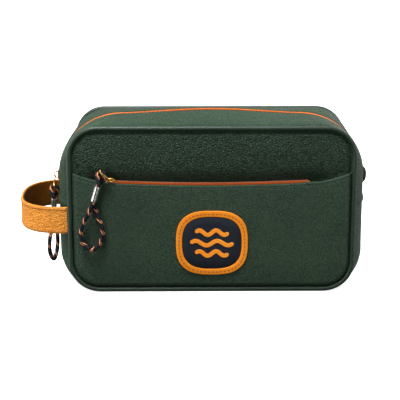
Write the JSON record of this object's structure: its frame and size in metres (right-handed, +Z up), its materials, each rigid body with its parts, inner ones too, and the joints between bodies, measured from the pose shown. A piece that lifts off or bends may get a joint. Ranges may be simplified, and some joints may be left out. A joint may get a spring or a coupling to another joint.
{
  "type": "toiletry bag",
  "caption": "Boxy piped leather toiletry bag with a zipped mouth, a zipped front pocket with a stitched badge, cord zip pulls with metal sleeves, and a tan side hand strap.",
  "frame": {"origin": "middle of the flat base, on the surface the bag stands on", "axes": "+X along the bag away from the hand strap, +Y from the front pocket to the back, +Z up"},
  "size_m": [0.3235, 0.1164, 0.1575],
  "materials": {
    "green_leather": "pebbled, slight sheen",
    "green_piping": "smooth, slight sheen",
    "tan_leather": "pebbled, satin",
    "brown_suede": "napped, matte",
    "orange_zip": "woven tape and coil, matte",
    "navy_leather": "smooth, satin",
    "lining": "woven, matte",
    "foam_board": "foam sheet, matte",
    "gold_metal": "polished",
    "silver_metal": "polished",
    "black_cord": "braided with orange flecks",
    "black_webbing": "woven, matte"
  },
  "bodies": {
    "bag": {"top_gusset_front": "green_leather", "top_gusset_rear": "green_leather", "base_gusset": "green_leather", "front_panel": "green_leather", "front_pocket_panel": "green_leather", "back_panel": "green_leather", "front_piping": "green_piping", "back_piping": "green_piping", "hand_strap_root_front": "tan_leather", "hand_strap_root_rear": "tan_leather", "badge_rim": "tan_leather", "main_zip_tape_front": "orange_zip", "main_zip_tape_rear": "orange_zip", "main_zip_teeth_front": "orange_zip", "main_zip_teeth_rear": "orange_zip", "pocket_zip_tape_upper": "orange_zip", "pocket_zip_tape_lower": "orange_zip", "pocket_zip_teeth_upper": "orange_zip", "pocket_zip_teeth_lower": "orange_zip", "badge_wave_1": "orange_zip", "badge_wave_2": "orange_zip", "badge_wave_3": "orange_zip", "badge_field": "navy_leather", "top_lining_front": "lining", "top_lining_rear": "lining", "base_lining": "lining", "pocket_lining": "lining", "front_lining": "lining", "back_lining": "lining", "front_foam": "foam_board", "back_foam": "foam_board", "base_board": "foam_board", "pocket_zip_stop_left": "gold_metal", "pocket_zip_stop_right": "gold_metal", "zip_end_tab": "black_webbing"},
    "pocket_slider": {"pocket_slider_plate": "gold_metal", "pocket_slider_crown": "gold_metal"},
    "pocket_puller": {"pocket_puller": "gold_metal"},
    "pocket_pull": {"pocket_pull_eye": "black_cord", "pocket_pull_ferrule": "silver_metal", "pocket_pull_cord": "black_cord"},
    "main_slider": {"main_slider_plate": "gold_metal", "main_slider_crown": "gold_metal"},
    "main_puller": {"main_puller": "gold_metal"},
    "main_pull": {"main_pull_eye": "black_cord", "main_pull_ferrule": "silver_metal", "main_pull_cord": "black_cord"},
    "hand_strap": {"hand_strap": "tan_leather", "hand_strap_lining": "brown_suede"}
  },
  "joints": [
    {"name": "pocket_slider_travel", "type": "slide", "parent": "bag", "child": "pocket_slider", "axis": [1, 0, 0], "range_m": [0, 0.17]},
    {"name": "pocket_puller_flip", "type": "hinge", "parent": "pocket_slider", "child": "pocket_puller", "pos_m": [-0.0896, -0.0585, 0.106], "axis": [0, 0, 1], "range_deg": [0, 125]},
    {"name": "pocket_pull_swing", "type": "hinge", "parent": "pocket_puller", "child": "pocket_pull", "pos_m": [-0.0983, -0.0588, 0.1138], "axis": [0, 1, 0], "range_deg": [-20, 20], "deforming": ["pocket_pull_eye"]},
    {"name": "main_slider_travel", "type": "hinge", "parent": "bag", "child": "main_slider", "pos_m": [-0.0835, 0, 0.0995], "axis": [0, 1, 0], "range_deg": [0, 90], "deforming": ["main_pull_eye", "main_pull_ferrule", "main_pull_cord"]},
    {"name": "main_puller_flip", "type": "hinge", "parent": "main_slider", "child": "main_puller", "pos_m": [-0.1455, 0, 0.0979], "axis": [0, 1, 0], "range_deg": [0, 155], "deforming": ["main_pull_eye", "main_pull_ferrule", "main_pull_cord"]},
    {"name": "main_pull_swing", "type": "hinge", "parent": "main_puller", "child": "main_pull", "pos_m": [-0.1468, 0, 0.0874], "axis": [1, 0, 0], "range_deg": [-20, 20], "deforming": ["main_pull_eye"]},
    {"name": "hand_strap_lift", "type": "hinge", "parent": "bag", "child": "hand_strap", "pos_m": [-0.134, 0, 0.0685], "axis": [0, 1, 0], "range_deg": [-25, 30], "deforming": ["hand_strap_root_front", "hand_strap_root_rear"]}
  ]
}
